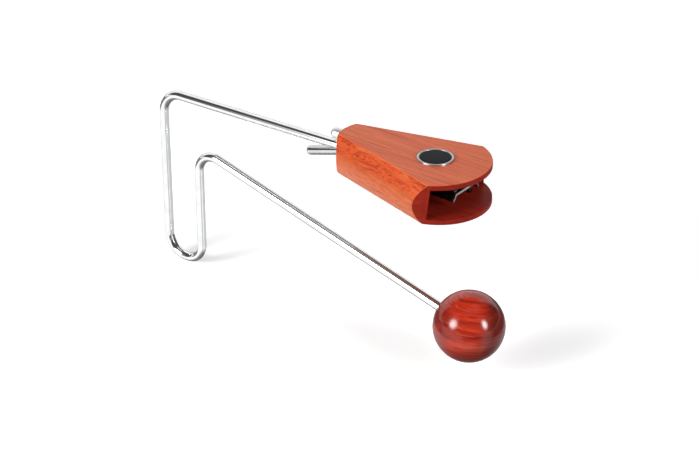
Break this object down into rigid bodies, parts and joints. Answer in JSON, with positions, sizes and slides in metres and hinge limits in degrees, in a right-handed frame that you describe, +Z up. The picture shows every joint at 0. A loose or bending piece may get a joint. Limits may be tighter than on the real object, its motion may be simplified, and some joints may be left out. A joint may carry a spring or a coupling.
{
  "type": "vibraslap",
  "caption": "Hand-held rattle percussion instrument: a bent chrome rod joins a wooden striking ball to a wedge-shaped wooden box whose loose rivets buzz on a steel channel.",
  "frame": {"origin": "middle of the hand grip, between the two upright bars of the bent rod", "axes": "+X along the rattle box towards its open mouth, +Y to the player's left, +Z up"},
  "size_m": [0.312, 0.079, 0.1609],
  "materials": {
    "rod_chrome": "polished",
    "box_wood": "satin lacquer",
    "ball_wood": "gloss lacquer",
    "badge_chrome": "polished",
    "badge_black": "gloss",
    "rattle_steel": "mill",
    "fastener_steel": "zinc plated",
    "fastener_chrome": "polished"
  },
  "bodies": {
    "handle": {"rod_handle": "rod_chrome"},
    "box_arm": {"rod_box_arm": "rod_chrome", "top_plate": "box_wood", "bottom_plate": "box_wood", "left_wall": "box_wood", "right_wall": "box_wood", "end_block": "box_wood", "badge_ring": "badge_chrome", "badge_disc": "badge_black", "rattle_channel": "rattle_steel", "channel_screws": "fastener_steel", "channel_washers": "fastener_steel", "channel_nuts": "fastener_steel", "lock_screw": "fastener_chrome", "lock_washer": "fastener_chrome", "mount_post": "rod_chrome"},
    "ball_arm": {"rod_ball_arm": "rod_chrome", "ball": "ball_wood"},
    "rivet_01": {"rivet_01": "rattle_steel"},
    "rivet_02": {"rivet_02": "rattle_steel"},
    "rivet_03": {"rivet_03": "rattle_steel"},
    "rivet_04": {"rivet_04": "rattle_steel"},
    "rivet_05": {"rivet_05": "rattle_steel"},
    "rivet_06": {"rivet_06": "rattle_steel"},
    "rivet_07": {"rivet_07": "rattle_steel"},
    "rivet_08": {"rivet_08": "rattle_steel"},
    "rivet_09": {"rivet_09": "rattle_steel"},
    "rivet_10": {"rivet_10": "rattle_steel"}
  },
  "joints": [
    {"name": "box_arm_flex", "type": "hinge", "parent": "handle", "child": "box_arm", "pos_m": [0.00409, 0, 0.08809], "axis": [0, 1, 0], "range_deg": [-2.5, 2.5], "stiffness_Nm_per_rad": 340},
    {"name": "ball_arm_flex", "type": "hinge", "parent": "handle", "child": "ball_arm", "pos_m": [0.03724, 0, 0.04503], "axis": [0, 1, 0], "range_deg": [-2.5, 2.5], "stiffness_Nm_per_rad": 295},
    {"name": "rivet_01_hop", "type": "slide", "parent": "box_arm", "child": "rivet_01", "axis": [0, 0, 1], "range_m": [0, 0.0049]},
    {"name": "rivet_02_hop", "type": "slide", "parent": "box_arm", "child": "rivet_02", "axis": [0, 0, 1], "range_m": [0, 0.0049]},
    {"name": "rivet_03_hop", "type": "slide", "parent": "box_arm", "child": "rivet_03", "axis": [0, 0, 1], "range_m": [0, 0.0049]},
    {"name": "rivet_04_hop", "type": "slide", "parent": "box_arm", "child": "rivet_04", "axis": [0, 0, 1], "range_m": [0, 0.0049]},
    {"name": "rivet_05_hop", "type": "slide", "parent": "box_arm", "child": "rivet_05", "axis": [0, 0, 1], "range_m": [0, 0.0049]},
    {"name": "rivet_06_hop", "type": "slide", "parent": "box_arm", "child": "rivet_06", "axis": [0, 0, 1], "range_m": [0, 0.0049]},
    {"name": "rivet_07_hop", "type": "slide", "parent": "box_arm", "child": "rivet_07", "axis": [0, 0, 1], "range_m": [0, 0.0049]},
    {"name": "rivet_08_hop", "type": "slide", "parent": "box_arm", "child": "rivet_08", "axis": [0, 0, 1], "range_m": [0, 0.0049]},
    {"name": "rivet_09_hop", "type": "slide", "parent": "box_arm", "child": "rivet_09", "axis": [0, 0, 1], "range_m": [0, 0.0049]},
    {"name": "rivet_10_hop", "type": "slide", "parent": "box_arm", "child": "rivet_10", "axis": [0, 0, 1], "range_m": [0, 0.0049]}
  ]
}
